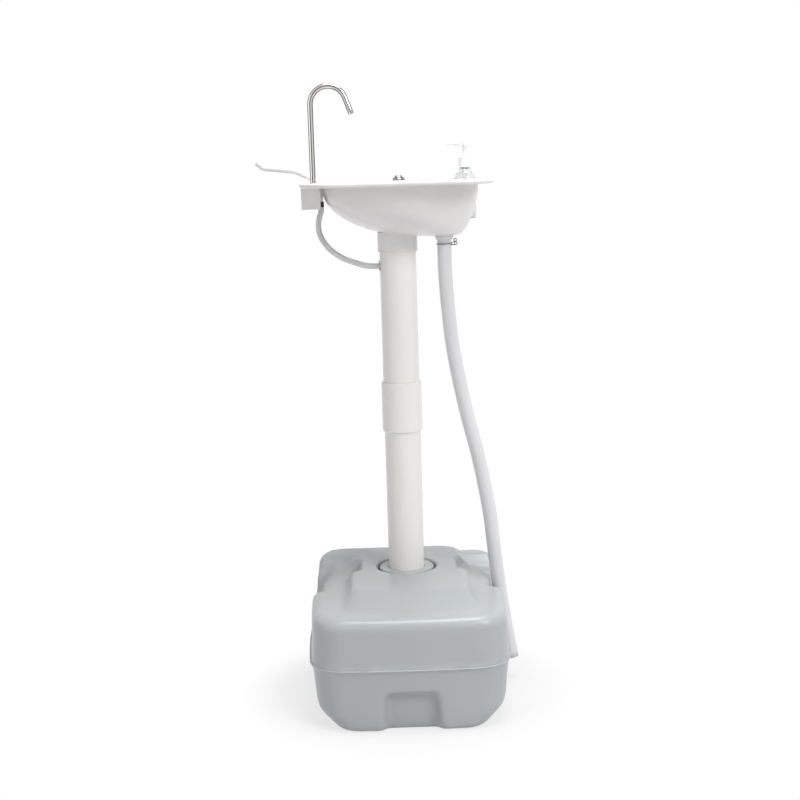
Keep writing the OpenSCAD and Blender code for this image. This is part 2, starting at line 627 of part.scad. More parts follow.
module drain_tail() {
    b = hose_bore / 2 - 0.5;
    color([0.93, 0.93, 0.92]) translate([drain_x, 0, drain_foot]) rotate_extrude()
        polygon([[b - 2, -20], [b - 0.6, -20], [b, -17], [b - 0.6, -14], [b, -11], [b - 0.6, -8], [b, -5],
            [b, 0], [thread_r - 0.2, 0], [thread_r - 0.2, 2.4], [thread_r - 2, 2.4], [thread_r - 2, 9], [b - 2, 7.5]]);
}
// Spring wire clamp: a turn round the hose, and two ends with eyes to squeeze
clamp_z = drain_foot - 6;
clamp_start = -24;
clamp_turn = 408;
clamp_eye = 2.3;
module hose_clamp() {
    r = hose_d / 2 + 0.2 + clamp_wire / 2;
    n = clamp_turn / 17;
    rise = (clamp_wire + 0.8) * clamp_turn / 360;
    ring_of = [for (i = [0:n]) let (a = clamp_start + 17 * i) [r * cos(a), r * sin(a), rise * i / n]];
    function tail(e) = let (a = e < 0 ? clamp_start : clamp_start + clamp_turn, p = e < 0 ? ring_of[0] : ring_of[n],
        q = p + 2.6 * [cos(a), sin(a), 0] + e * 2.4 * [-sin(a), cos(a), 0], t = q + [6, e * 1.2, 1.2 + e * 0.8])
        concat([q, t], [for (k = [1:8]) t + [clamp_eye * sin(40 * k), e * k * 0.28, clamp_eye * (1 - cos(40 * k))]]);
    first = tail(-1);
    wire = concat([for (i = [len(first) - 1:-1:0]) first[i]], ring_of, tail(1));
    color([0.35, 0.35, 0.36]) translate([drain_x, 0, clamp_z]) hose(wire, clamp_wire / 2, 8, [0, 1, 0]);
}
drain_points = [[80.5, 0, 782.2], [80.5, 0, 762], [80.6, -1, 738], [82, -2, 704], [85, -3, 662], [89.5, -4, 613],
    [96, -6, 568], [104.5, -8, 522], [113.5, -10, 478], [123.5, -12, 438], [133, -14, 396], [141.5, -16, 350],
    [149, -18, 304], [154, -20, 256], [158.5, -20, 212], [163, -20, 175], [168, -20, 137], [174, -20, 99],
    [184, -20, 39]];
module drain_hose() {
    color([0.9, 0.91, 0.92]) hollow_hose(drain_points, hose_d / 2, hose_bore / 2, 12, [0, 1, 0]);
}

// Foot pump in the tank behind the pole: barrel, ring, bellows, return spring, button and piston
barrel_foot = pump_z - 58;
outlet_z = barrel_foot + 12;
module pump_body() {
    color([0.3, 0.31, 0.32]) translate([pump_x, pump_y, 0]) difference() {
        union() {
            translate([0, 0, pump_z]) cylinder(r = pump_well - 2.5, h = 4);
            translate([0, 0, barrel_foot]) cylinder(r = barrel_r, h = pump_z - barrel_foot + 1);
            rotate(270) translate([barrel_r - 2, 0, outlet_z]) rotate([0, 90, 0]) cylinder(d = supply_bore - 0.4, h = 20);
            rotate(270) translate([barrel_r - 2, 0, outlet_z]) rotate([0, 90, 0]) cylinder(r = 5, h = 7);
            translate([0, 0, barrel_foot - 16]) cylinder(d = supply_bore + 3, h = 17);
        }
        translate([0, 0, barrel_foot + 3]) cylinder(r = barrel_r - 3, h = pump_z - barrel_foot - 3.5);
        translate([0, 0, pump_z - 10]) cylinder(r = rod_r + rod_fit, h = 30);
        rotate(270) translate([barrel_r - 6, 0, outlet_z]) rotate([0, 90, 0]) cylinder(r = 2, h = 30);
        translate([0, 0, barrel_foot - 20]) cylinder(r = 3, h = 40);
        for (a = [0:60:359]) rotate(a) translate([(pump_well + barrel_r) / 2 - 1, 0, pump_z + 2.5])
            cylinder(r = 2.6, h = 5, $fn = 24);
    }
}
bellows_foot = pump_z + 4;
button_under = crown_z - 6;
module pump_ring() {
    color([0.5, 0.53, 0.55]) translate([pump_x, pump_y, pump_z + 4]) difference() {
        cylinder(r = pump_well - 0.3, h = 2);
        translate([0, 0, -1]) cylinder(r = barrel_r + 3, h = 4);
    }
}
module pump_bellows() {
    h = button_under - bellows_foot;
    r = barrel_r + 2;
    n = 3;
    color([0.1, 0.1, 0.11]) translate([pump_x, pump_y, bellows_foot]) rotate_extrude()
        polygon(concat([for (i = [0:2 * n]) [i % 2 == 0 ? r : r - 5, h * i / (2 * n)]],
            [for (i = [2 * n:-1:0]) [i % 2 == 0 ? r - 1.6 : r - 6.6, h * i / (2 * n)]]));
}
// A coil spring: one unbroken wire
module coil(r, wire, h, turns) {
    n = turns * 16;
    path_z = h - wire;
    skin([for (i = [0:n]) let (a = 360 * i / 16, z = wire / 2 + path_z * i / n,
        u = [cos(a), sin(a), 0], v = unit([-sin(a) * path_z / (turns * 6.283 * r), cos(a) * path_z / (turns * 6.283 * r), 1] * -1))
        [for (k = [0:5]) r * u + [0, 0, z] + wire / 2 * (cos(60 * k) * u - sin(60 * k) * v)]]);
}
module pump_spring() {
    color([0.6, 0.6, 0.6]) translate([pump_x, pump_y, bellows_foot + 0.1])
        coil(rod_r + 6, 2, button_under - bellows_foot - 0.2, 4);
}
module pump_button() {
    r = button_d / 2;
    color([0.6, 0.64, 0.66]) translate([pump_x, pump_y, 0]) difference() {
        translate([0, 0, crown_z - 12]) rotate_extrude()
            polygon([[0, 0], [r - 0.6, 0], [r, 0.8], [r, 5], [r - 1, 7.5], [r - 4, 9.4], [r - 10, 10.8],
                [r - 20, 11.7], [0, 12]]);
        translate([0, 0, crown_z - 13]) cylinder(r = r - 2.5, h = 7);
    }
}
module pump_rod() {
    rod_foot = barrel_foot + 22;
    color([0.7, 0.7, 0.71]) translate([pump_x, pump_y, 0]) {
        translate([0, 0, rod_foot]) cylinder(r = rod_r, h = button_under - rod_foot);
        translate([0, 0, rod_foot]) difference() {
            cylinder(r = barrel_r - 4.2, h = 8);
            translate([0, 0, 2.5]) tube(2 * barrel_r, 2 * (barrel_r - 6), 3);
        }
    }
}
module pump_seal() {
    color([0.08, 0.08, 0.08]) translate([pump_x, pump_y, barrel_foot + 24.6])
        tube(2 * (barrel_r - 3.05), 2 * (barrel_r - 5.9), 2.8);
}
module pump_valve() {
    color([0.1, 0.1, 0.1]) translate([pump_x, pump_y, barrel_foot + 3]) difference() {
        cylinder(r = 8, h = 2);
        for (a = [0:90:359]) rotate(a) translate([5, 0, -1]) cylinder(r = 1.2, h = 4, $fn = 16);
    }
}
module pump_strainer() {
    z0 = tank_wall + 9;
    color([0.85, 0.85, 0.85]) translate([pump_x, pump_y, 0]) difference() {
        union() {
            translate([0, 0, z0]) cylinder(d = supply_bore + 9, h = 14);
            translate([0, 0, z0 + 13]) cylinder(d = supply_bore + 6.4, h = barrel_foot - 16 - z0 - 2);
        }
        translate([0, 0, barrel_foot - 16.1]) cylinder(d = supply_bore + 3.4, h = 30);
        translate([0, 0, z0 - 1]) cylinder(d = supply_bore, h = barrel_foot);
        for (a = [0:30:179]) rotate(a) translate([-10, -0.8, z0 + 2.5]) cube([20, 1.6, 8]);
    }
}

// Soap bottle that hangs by its shoulder in the deck
bottle_foot = deck_z - bottle_drop;
module soap_bottle() {
    r = bottle_r;
    n = closure_d / 2 - 3.2;
    h = bottle_drop;
    color([0.85, 0.88, 0.9, 0.6]) translate([soap_x, soap_y, bottle_foot]) rotate_extrude()
        polygon([[0, 0], [r - 2, 0], [r, 2], [r, h - 2.5], [r, h + 0.1], [r + 1, h + 0.1], [r + 1, h + 1.3],
            [r - 0.4, h + 2], [r - 1.4, h + 6], [r - 3.6, h + 11], [r - 6.6, h + 15.6],
            [n + 1, h + shoulder_rise - 1.4], [n, h + shoulder_rise], [n, h + shoulder_rise + 14],
            [n - 1.4, h + shoulder_rise + 14], [n - 1.4, h + shoulder_rise - 1.4], [r - 8, h + 14.4],
            [r - 5, h + 10], [r - 2.9, h + 5], [r - 1.5, h], [r - 1.5, 2.6], [r - 2.6, 1.5], [0, 1.5]]);
}
stem_r = 3.4;
module soap_closure() {
    r = closure_d / 2;
    n = r - 3.2;
    color([0.95, 0.95, 0.95]) translate([soap_x, soap_y, closure_z + 0.3]) difference() {
        union() {
            cylinder(r = r, h = closure_h - 2);
            translate([0, 0, closure_h - 2]) cylinder(r1 = r, r2 = r - 1.6, h = 2);
            translate([0, 0, -22]) cylinder(r = n - 2, h = 30);
        }
        difference() {
            translate([0, 0, -30]) cylinder(r = n + 0.15, h = 44.2);
            translate([0, 0, -22]) cylinder(r = n - 2, h = 50);
        }
        translate([0, 0, -20]) cylinder(r = stem_r + 1.2, h = closure_h + 17.5);
        translate([0, 0, -20]) cylinder(r = stem_r + 0.08, h = 60);
        translate([0, 0, -30]) cylinder(r = 1.4, h = 30);
        for (a = [0:12:359]) rotate(a) translate([r + 0.7, 0, 1.5]) cylinder(r = 1.1, h = closure_h - 6, $fn = 16);
    }
}
module soap_tube() {
    top = closure_z + 0.3 - 22;
    color([0.9, 0.9, 0.92]) translate([soap_x, soap_y, bottle_foot + 5]) tube(4.6, 2.8, top - bottle_foot - 5);
}
stem_foot = closure_z + 14.2;
module soap_spring() {
    color([0.65, 0.65, 0.65]) translate([soap_x, soap_y, closure_z - 19.6])
        coil(2.9, 0.9, stem_foot - closure_z + 19.5, 6);
}
module soap_head() {
    h = 9.5;
    color([0.96, 0.96, 0.96]) translate([soap_x, soap_y, 0]) difference() {
        union() {
            translate([0, 0, stem_foot]) cylinder(r = stem_r, h = head_z - stem_foot + 1);
            translate([0, 0, stem_foot]) cylinder(r = stem_r + 1, h = 3);
            translate([0, 0, head_z]) rotate_extrude()
                polygon([[0, 0], [5.2, 0], [6.4, 1.4], [6.4, h - 2], [5, h], [0, h]]);
            translate([0, 0, head_z + 5]) rotate([0, -90, 0]) {
                cylinder(r = 3.1, h = soap_reach - 3);
                translate([0, 0, soap_reach - 3]) cylinder(r1 = 3.1, r2 = 2.4, h = 3);
            }
        }
        translate([0, 0, stem_foot - 1]) cylinder(r = 1.5, h = head_z - stem_foot + 7);
        translate([0, 0, head_z + 5]) rotate([0, -90, 0]) cylinder(r = 1.4, h = soap_reach + 2);
    }
}

// Towel arm: a bent tube that turns in a bush in the deck
module towel_bush() {
    color([0.93, 0.93, 0.92]) translate([-arm_x, arm_y, deck_under - 9]) rotate_extrude()
        polygon([[arm_r + 0.08, 0], [arm_hole - 0.1, 0], [arm_hole - 0.1, 9 + deck_t],
            [arm_hole + 1.1, 9 + deck_t], [arm_hole + 1.1, 9.8 + deck_t], [arm_hole + 0.6, 10.3 + deck_t],
            [arm_r + 0.08, 10.3 + deck_t]]);
}
module towel_nut() {
    color([0.93, 0.93, 0.92]) translate([-arm_x, arm_y, deck_under - 5]) difference() {
        cylinder(r = arm_hole + 3, h = 5, $fn = 6);
        translate([0, 0, -1]) cylinder(r = arm_hole - 0.1, h = 7);
    }
}
module towel_arm() {
    foot = deck_under - 9;
    up = deck_z + 1.6 - foot;
    steps = [[up, 8, 66, 180], [30, 20, 17.5, 0], [arm_l - 18, 14, 36, 180], [10, 1, 0, 0]];
    color([0.95, 0.95, 0.95]) translate([-arm_x, arm_y, foot]) path(steps, arm_r, arm_bore / 2);
}

// Chrome cap over the spare tap hole
module tap_cap() {
    r = tap_cap_d / 2;
    color([0.8, 0.8, 0.82]) translate([tap_cap_x, tap_cap_y, deck_z + 1]) {
        rotate_extrude() polygon([[0, 0], [r, 0], [r, 1.2], [r - 1.2, 3], [r - 4, 4.6], [r - 5.4, 6.4],
            [r - 6.2, tap_cap_h - 1.6], [r - 7.6, tap_cap_h - 1], [0, tap_cap_h - 1]]);
        translate([0, 0, -deck_t - 13]) cylinder(r = 5, h = deck_t + 14);
    }
}
module tap_cap_washer() {
    color([0.15, 0.15, 0.15]) translate([tap_cap_x, tap_cap_y, deck_z]) tube(tap_cap_d - 2, 12, 1);
}
module tap_cap_nut() {
    color([0.8, 0.8, 0.8]) translate([tap_cap_x, tap_cap_y, deck_under - 5]) difference() {
        cylinder(r = 10, h = 5, $fn = 6);
        translate([0, 0, -1]) cylinder(r = 5.1, h = 7);
    }
}

tank();
cap_gasket();
tank_cap();
lower_tube();
sleeve();
upper_tube();
hose_grommet();
basin();
spout_bush();
spout();
spout_nut();
supply_elbow();
supply_hose();
riser_hose();
drain_flange();
drain_gasket();
drain_nut();
drain_tail();
hose_clamp();
drain_hose();
pump_body();
pump_ring();
pump_bellows();
pump_spring();
pump_button();
pump_rod();
pump_seal();
pump_valve();
pump_strainer();
soap_bottle();
soap_closure();
soap_tube();
soap_spring();
soap_head();
towel_bush();
towel_arm();
towel_nut();
tap_cap();
tap_cap_washer();
tap_cap_nut();
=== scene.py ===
# %% [markdown]
# # A portable wash basin
#
# The basin stands on a two-piece plastic pole, which is screwed into a
# moulded water tank. A foot pump behind the pole sends water up a hose inside
# the pole to a steel spout, and a drain hose hangs from the bowl.
#
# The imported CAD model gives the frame. Each cell below gives one real piece
# or one real finish the look that it has on the object.

# %% Load the frame
import json
import math

import bmesh
import bpy
from mathutils import Matrix, Vector
from mathutils.bvhtree import BVHTree


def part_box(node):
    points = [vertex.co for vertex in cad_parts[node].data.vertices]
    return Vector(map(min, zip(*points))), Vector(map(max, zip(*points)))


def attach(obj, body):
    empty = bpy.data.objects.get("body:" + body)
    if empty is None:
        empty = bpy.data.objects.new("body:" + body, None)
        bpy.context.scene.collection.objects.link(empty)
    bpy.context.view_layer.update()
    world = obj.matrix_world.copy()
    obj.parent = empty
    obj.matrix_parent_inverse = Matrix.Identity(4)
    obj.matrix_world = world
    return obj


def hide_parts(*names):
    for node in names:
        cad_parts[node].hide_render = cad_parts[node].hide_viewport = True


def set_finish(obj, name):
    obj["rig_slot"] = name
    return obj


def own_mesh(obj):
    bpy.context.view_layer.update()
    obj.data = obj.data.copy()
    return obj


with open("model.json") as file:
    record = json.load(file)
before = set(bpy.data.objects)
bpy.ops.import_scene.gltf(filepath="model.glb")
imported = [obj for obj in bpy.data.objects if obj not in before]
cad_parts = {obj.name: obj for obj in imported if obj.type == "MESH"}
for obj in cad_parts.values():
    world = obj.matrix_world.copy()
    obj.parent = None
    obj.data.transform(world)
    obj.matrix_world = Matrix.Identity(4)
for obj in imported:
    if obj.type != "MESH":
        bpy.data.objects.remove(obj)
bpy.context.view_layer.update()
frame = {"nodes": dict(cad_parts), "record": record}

# %% [markdown]
# Three small helpers are used all through the script. One puts a mesh, lamp
# or camera into the scene as an object. One turns an object with a curve or
# with modifiers into a plain mesh. The last shades a piece smoothly.

# %% Helpers for objects
def placed(name, data):
    """A new object in the scene that shows the given data."""
    thing = bpy.data.objects.new(name, data)
    bpy.context.scene.collection.objects.link(thing)
    return thing


def baked(holder):
    """The mesh that an object shows. The object itself is taken away."""
    graph = bpy.context.evaluated_depsgraph_get()
    mesh = bpy.data.meshes.new_from_object(holder.evaluated_get(graph))
    bpy.data.objects.remove(holder)
    return mesh


def smooth(piece):
    """Shades every face of a piece smoothly."""
    for face in piece.data.polygons:
        face.use_smooth = True


print("helpers: placed, baked, smooth")

# %% [markdown]
# The photograph was taken from a little above the rim, 2.43 m in front of
# the pole. The camera looks 9.8 degrees down and is tilted 1.7 degrees, so
# the pole leans a little to the left in the picture. These numbers came from
# matching the pole, the rim and the tank's corners.

# %% Camera
CAMERA_AT = Vector((-0.02538, -2.42672, 0.9258))
AIM_YAW = math.radians(0.52)
AIM_DOWN = math.radians(9.78)
TILT = math.radians(1.66)
FOCAL_PIXELS, PICTURE_WIDTH = 1405.33, 800
SENSOR_WIDTH = 36

ahead = Vector((math.sin(AIM_YAW) * math.cos(AIM_DOWN),
                math.cos(AIM_YAW) * math.cos(AIM_DOWN), -math.sin(AIM_DOWN)))
right = Vector((math.cos(AIM_YAW), -math.sin(AIM_YAW), 0))
above = right.cross(ahead)
tilted_right = right * math.cos(TILT) - above * math.sin(TILT)
tilted_above = right * math.sin(TILT) + above * math.cos(TILT)

camera = placed("camera", bpy.data.cameras.new("camera"))
camera.data.sensor_width = SENSOR_WIDTH
camera.data.lens = SENSOR_WIDTH * FOCAL_PIXELS / PICTURE_WIDTH
turn = Matrix((tilted_right, tilted_above, -ahead)).transposed()
camera.matrix_world = Matrix.Translation(CAMERA_AT) @ turn.to_4x4()
bpy.context.scene.camera = camera
print("camera lens", round(camera.data.lens, 2), "mm")

# %% [markdown]
# A tube is the commonest shape here. A Bezier curve through the route's
# points gives a smooth centreline, and a second curve's own bevel sweeps a
# circle along it. The result is turned into a mesh, so that a Solidify
# modifier can give a hose its wall and its cut end. Routes and sizes of
# tubes are in millimetres, as in the drawing.

# %% Tubes along a route
MM = 0.001


def metres(points):
    """Points in millimetres as points in metres."""
    return [Vector(p) * MM for p in points]


def length_of(line):
    """Length along a row of points."""
    return sum((b - a).length for a, b in zip(line, line[1:]))


def centreline(points, steps=6):
    """A smooth line through the route's points, as closely spaced points."""
    curve = bpy.data.curves.new("route", "CURVE")
    curve.dimensions = "3D"
    spline = curve.splines.new("BEZIER")
    spline.bezier_points.add(len(points) - 1)
    spline.resolution_u = steps
    for knot, point in zip(spline.bezier_points, points):
        knot.co = point
        knot.handle_left_type = knot.handle_right_type = "AUTO"
    return [v.co.copy() for v in baked(placed("route", curve)).vertices]


def swept_tube(name, line, radius, sides, closed=False):
    """A round tube swept along closely spaced points, open at both ends."""
    curve = bpy.data.curves.new(name, "CURVE")
    curve.dimensions = "3D"
    curve.twist_mode = "MINIMUM"
    curve.bevel_depth = radius
    curve.bevel_resolution = sides // 4 - 1
    spline = curve.splines.new("POLY")
    spline.points.add(len(line) - 1)
    for knot, point in zip(spline.points, line):
        knot.co = (*point, 1)
    spline.use_cyclic_u = closed
    mesh = baked(placed(name, curve))
    mesh.name = name
    return placed(name, mesh)


def give_wall(piece, thickness):
    """Turns an open skin into a wall that grows inwards."""
    wall = piece.modifiers.new("wall", "SOLIDIFY")
    wall.thickness = thickness
    wall.offset = -1
    smooth(piece)


print("helpers: metres, length_of, centreline, swept_tube, give_wall")

# %% [markdown]
# The drain hose is milky vinyl with a wall of just under 3 mm. It is pushed
# over the drain tail, hangs down beside the pole, leans on the tank's side
# and ends in a plain square cut just above the floor, so its whole length
# shows.

# %% Drain hose
DRAIN_ROUTE = [
    (80.5, 0, 782.2), (80.5, 0, 762), (80.6, -1, 738), (82, -2, 704),
    (85, -3, 662), (89.5, -4, 613), (96, -6, 568), (104.5, -8, 522),
    (113.5, -10, 478), (123.5, -12, 438), (133, -14, 396), (141.5, -16, 350),
    (149, -18, 304), (154, -20, 256), (158.5, -20, 212), (163, -20, 175),
    (168, -20, 137), (174, -20, 99), (184, -20, 39)]
DRAIN_RADIUS, DRAIN_WALL = 12.25, 2.75

drain_line = centreline(metres(DRAIN_ROUTE))
drain_hose = swept_tube("drain_hose_skin", drain_line, DRAIN_RADIUS * MM, sides=32)
give_wall(drain_hose, DRAIN_WALL * MM)
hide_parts("drain_hose")
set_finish(drain_hose, "drain_hose")
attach(drain_hose, "stand")
print("drain hose", round(length_of(drain_line), 3), "m long")

# %% [markdown]
# The supply hose is a thinner clear tube. It leaves the black fitting under
# the spout, bows out beside the bowl and goes back into the pole through a
# rubber ring. It is swept in the same way, with a thinner wall.

# %% Supply hose
SUPPLY_ROUTE = [
    (-129, 0, 846.5), (-129, 0, 839), (-132, 0, 829), (-134, 0, 818),
    (-134, 0, 807), (-131, 0, 796), (-125, 0, 785), (-116, 0, 774),
    (-104, 0, 764), (-90, 0, 756), (-74, 0, 750), (-58, 0, 745),
    (-42, 0, 743), (-29, 0, 743)]
SUPPLY_RADIUS, SUPPLY_WALL = 5, 1.8

supply_line = centreline(metres(SUPPLY_ROUTE))
supply_hose = swept_tube("supply_hose_skin", supply_line, SUPPLY_RADIUS * MM, sides=24)
give_wall(supply_hose, SUPPLY_WALL * MM)
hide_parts("supply_hose")
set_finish(supply_hose, "clear_hose")
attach(supply_hose, "stand")
print("supply hose", round(length_of(supply_line), 3), "m long")

# %% [markdown]
# The spring clamp is one round wire. It goes once round the hose, and each
# end leaves the hose and curls into an eye that a thumb and finger squeeze.
# One centreline through all of that, swept as a round rod, gives the whole
# clamp.

# %% Spring clamp
WIRE, WIRE_FIT, WIRE_GAP = 1.6, 0.2, 0.8
CLAMP_FOOT = Vector((80.5, 0, 776.2))
CLAMP_START, CLAMP_TURN, CLAMP_STEPS = -24, 408, 24
BEND_OUT, BEND_ALONG = 2.6, 2.4
LEG_LENGTH, LEG_SPREAD, LEG_RISE, LEG_SPLIT = 6, 1.2, 1.2, 0.8
EYE_RADIUS, EYE_STEP, EYE_STEPS, EYE_PITCH = 2.3, math.radians(40), 8, 0.28


def clamp_end(side, leaves_at, angle):
    """The way from the hose out to one eye, and round it."""
    outward = Vector((math.cos(angle), math.sin(angle), 0))
    along = Vector((-math.sin(angle), math.cos(angle), 0))
    bend = leaves_at + BEND_OUT * outward + side * BEND_ALONG * along
    eye = bend + Vector((LEG_LENGTH, side * LEG_SPREAD, LEG_RISE + side * LEG_SPLIT))
    curl = [eye + Vector((EYE_RADIUS * math.sin(EYE_STEP * k), side * k * EYE_PITCH,
                          EYE_RADIUS * (1 - math.cos(EYE_STEP * k))))
            for k in range(1, EYE_STEPS + 1)]
    return [bend, eye] + curl


def clamp_turn():
    """The turn round the hose, which climbs by a wire and a gap."""
    radius = DRAIN_RADIUS + WIRE_FIT + WIRE / 2
    rise = (WIRE + WIRE_GAP) * CLAMP_TURN / 360
    turn = []
    for step in range(CLAMP_STEPS + 1):
        angle = math.radians(CLAMP_START + CLAMP_TURN * step / CLAMP_STEPS)
        turn.append(Vector((radius * math.cos(angle), radius * math.sin(angle),
                            rise * step / CLAMP_STEPS)))
    return turn


turn = clamp_turn()
wire_route = (clamp_end(-1, turn[0], math.radians(CLAMP_START))[::-1] + turn
              + clamp_end(1, turn[-1], math.radians(CLAMP_START + CLAMP_TURN)))
wire_line = centreline([(CLAMP_FOOT + p) * MM for p in wire_route], steps=3)
clamp = swept_tube("clamp_wire", wire_line, WIRE / 2 * MM, sides=12)
rod = bmesh.new()
rod.from_mesh(clamp.data)
bmesh.ops.holes_fill(rod, edges=[e for e in rod.edges if e.is_boundary])
bmesh.ops.recalc_face_normals(rod, faces=rod.faces)
rod.to_mesh(clamp.data)
rod.free()
smooth(clamp)
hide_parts("hose_clamp")
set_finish(clamp, "spring_steel")
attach(clamp, "stand")
print("clamp wire", round(length_of(wire_line), 3), "m long")

# %% [markdown]
# The CAD nodes come as loose triangles, which always look faceted. A merged
# copy shares its corners, so it can be shaded smoothly across a curve and
# still be crisp where two faces meet at an angle. Weighted normals keep the
# flat faces flat beside a narrow chamfer.

# %% Smooth copies of CAD nodes
CREASE = math.radians(32)
SAME_POINT, SLIVER = 0.000004, 0.000002
COPIED = [
    "basin", "cap_gasket", "tank_cap", "lower_tube", "sleeve", "upper_tube",
    "hose_grommet", "spout_bush", "spout_nut", "supply_elbow", "drain_flange",
    "drain_nut", "drain_tail", "pump_ring", "pump_bellows", "pump_spring",
    "soap_spring", "pump_button", "soap_bottle", "soap_closure", "soap_head",
    "towel_bush", "towel_arm", "towel_nut", "tap_cap", "tap_cap_washer",
    "tap_cap_nut"]

record = frame["record"]
slot_of = {row["node"]: row["material_slot"] for row in record["subparts"]}
body_of = {}
for body_name, members in record["behaviour"]["bodies"].items():
    body_of.update({member: body_name for member in members})


def merged_mesh(node_name):
    """A joined copy of a node's mesh, smooth except at its edges."""
    builder = bmesh.new()
    builder.from_mesh(frame["nodes"][node_name].data)
    bmesh.ops.remove_doubles(builder, verts=builder.verts, dist=SAME_POINT)
    bmesh.ops.dissolve_degenerate(builder, edges=builder.edges, dist=SLIVER)
    for face in builder.faces:
        face.smooth = True
    for edge in builder.edges:
        inside = len(edge.link_faces) == 2
        edge.smooth = inside and edge.calc_face_angle(0) < CREASE
    mesh = bpy.data.meshes.new(node_name + "_skin")
    builder.to_mesh(mesh)
    builder.free()
    return mesh


def finished_copy(node_name, mesh):
    """A piece that stands for a node, with a given mesh."""
    piece = placed(node_name + "_skin", mesh)
    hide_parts(node_name)
    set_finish(piece, slot_of[node_name])
    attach(piece, body_of[node_name])
    return piece


for node_name in COPIED:
    copy = finished_copy(node_name, merged_mesh(node_name))
    weighted = copy.modifiers.new("flat faces stay flat", "WEIGHTED_NORMAL")
    weighted.keep_sharp = True
print(len(COPIED), "nodes have smooth copies")

# %% [markdown]
# The bellows and the two springs are soft: they shorten as the button or the
# pump head goes down, while their lower end stays on its seat. The record
# names them beside their joint, and each of their copies gets a mesh of its
# own.

# %% Bellows and springs
for joint in record["behaviour"]["joints"]:
    for soft in joint.get("deforming_nodes", []):
        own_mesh(bpy.data.objects[soft["node"] + "_skin"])

# %% [markdown]
# The tank is blow-moulded: hot plastic is pressed by air into a cold mould,
# so no edge on it is sharp. Its outer skin is taken from the merged CAD shape
# first. A plug closes each of the two bores, the neck's just under its
# sealing ring and the pump's 3 mm below the top of its flange. A face then
# belongs to the outside if a ray from it reaches the open air.

# %% Outside of the tank
NECK_AXIS, PUMP_AXIS = Vector((0, 0)), Vector((0.001, 0.096))
FLANGE_TOP_TO_PLUG = 0.003
BORES_ABOVE = 0.12
PLUG_MARGIN, PLUG_HEIGHT = 0.002, 0.005
OFF_FACE = 0.0002
SIGNS = (-1, 0, 1)
WAYS = [Vector((x, y, z)) for x in SIGNS for y in SIGNS for z in SIGNS
        if (x, y, z) != (0, 0, 0)]

shell = bmesh.new()
shell.from_mesh(merged_mesh("tank"))
plugs = []
for axis, top in ((NECK_AXIS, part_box("cap_gasket")[0].z),
                  (PUMP_AXIS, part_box("pump_body")[1].z - FLANGE_TOP_TO_PLUG)):
    bore = min((v.co.xy - axis).length for v in shell.verts if v.co.z > BORES_ABOVE)
    plugs.append((axis, bore, top))
    print("bore of", round(2 * bore / MM, 1), "mm")
for axis, bore, top in plugs:
    bmesh.ops.create_cone(
        shell, cap_ends=True, segments=48, radius1=bore + PLUG_MARGIN,
        radius2=bore + PLUG_MARGIN, depth=PLUG_HEIGHT,
        matrix=Matrix.Translation((*axis, top - PLUG_HEIGHT / 2)))
tree = BVHTree.FromBMesh(shell)


def sees_out(face):
    """True where a ray from just off the face meets nothing."""
    start = face.calc_center_median() + face.normal * OFF_FACE
    return any(tree.ray_cast(start, way)[0] is None for way in (face.normal, *WAYS))


within = [f for f in shell.faces if not sees_out(f)]
bmesh.ops.delete(shell, geom=within, context="FACES")
bmesh.ops.holes_fill(shell, edges=[e for e in shell.edges if e.is_boundary])
print("outside", len(shell.faces), "faces, inside", len(within), "open edges",
      len([e for e in shell.edges if e.is_boundary]))

# %% [markdown]
# A voxel remesh gives that skin an even grid of small faces, and the plugs
# are taken out again after it. A Smooth modifier then melts the edges, and
# Solidify gives the wall.

# %% Blow-moulded skin
VOXEL = 0.004
PLUG_RIM, PLUG_REACH = 0.001, 0.009
TANK_WALL = 2.5

plugged = bpy.data.meshes.new("plugged tank")
shell.to_mesh(plugged)
shell.free()
holder = placed("plugged tank", plugged)
remesh = holder.modifiers.new("even skin", "REMESH")
remesh.mode = "VOXEL"
remesh.voxel_size = VOXEL
skin_mesh = baked(holder)


def in_plug(face, axis, bore, top):
    """True for a face of the plug that closes a bore."""
    middle = face.calc_center_median()
    across = (middle.xy - axis).length
    return across < bore - PLUG_RIM and abs(middle.z - top) < PLUG_REACH


skin = bmesh.new()
skin.from_mesh(skin_mesh)
for plug in plugs:
    plug_faces = [f for f in skin.faces if in_plug(f, *plug)]
    bmesh.ops.delete(skin, geom=plug_faces, context="FACES")
    print("plug of", len(plug_faces), "faces taken out")
skin.to_mesh(skin_mesh)
skin.free()
skin_mesh.name = "tank_skin"
tank_skin = finished_copy("tank", skin_mesh)
melt = tank_skin.modifiers.new("melted edges", "SMOOTH")
melt.factor = 0.5
melt.iterations = 4
give_wall(tank_skin, TANK_WALL * MM)
print("tank skin", len(skin_mesh.polygons), "faces")

# %% [markdown]
# Where the two halves of the mould met, a thin bead runs round the tank. Its
# line is the outline of the CAD tank at that height, found by cutting a copy
# there, and a round bar is swept along it, a little way inside the outline.

# %% Mould seam
SEAM_HEIGHT, SEAM_SUNK, SEAM_RADIUS = 0.107, 0.0006, 0.0015
ON_PLANE = 0.000001
TANK_MIDDLE = (0, -0.06)

cut = bmesh.new()
cut.from_mesh(merged_mesh("tank"))
bmesh.ops.bisect_plane(cut, geom=cut.verts[:] + cut.edges[:] + cut.faces[:],
                       dist=ON_PLANE, plane_co=(0, 0, SEAM_HEIGHT),
                       plane_no=(0, 0, 1), clear_inner=True, clear_outer=True)
start = max(cut.verts, key=lambda v: v.co.x - v.co.y)
loop, seen = [start], {start}
while True:
    ahead_of = [e.other_vert(loop[-1]) for e in loop[-1].link_edges]
    ahead_of = [v for v in ahead_of if v not in seen]
    if not ahead_of:
        break
    loop.append(ahead_of[0])
    seen.add(ahead_of[0])
seam_line = [v.co.copy() for v in loop]
cut.free()

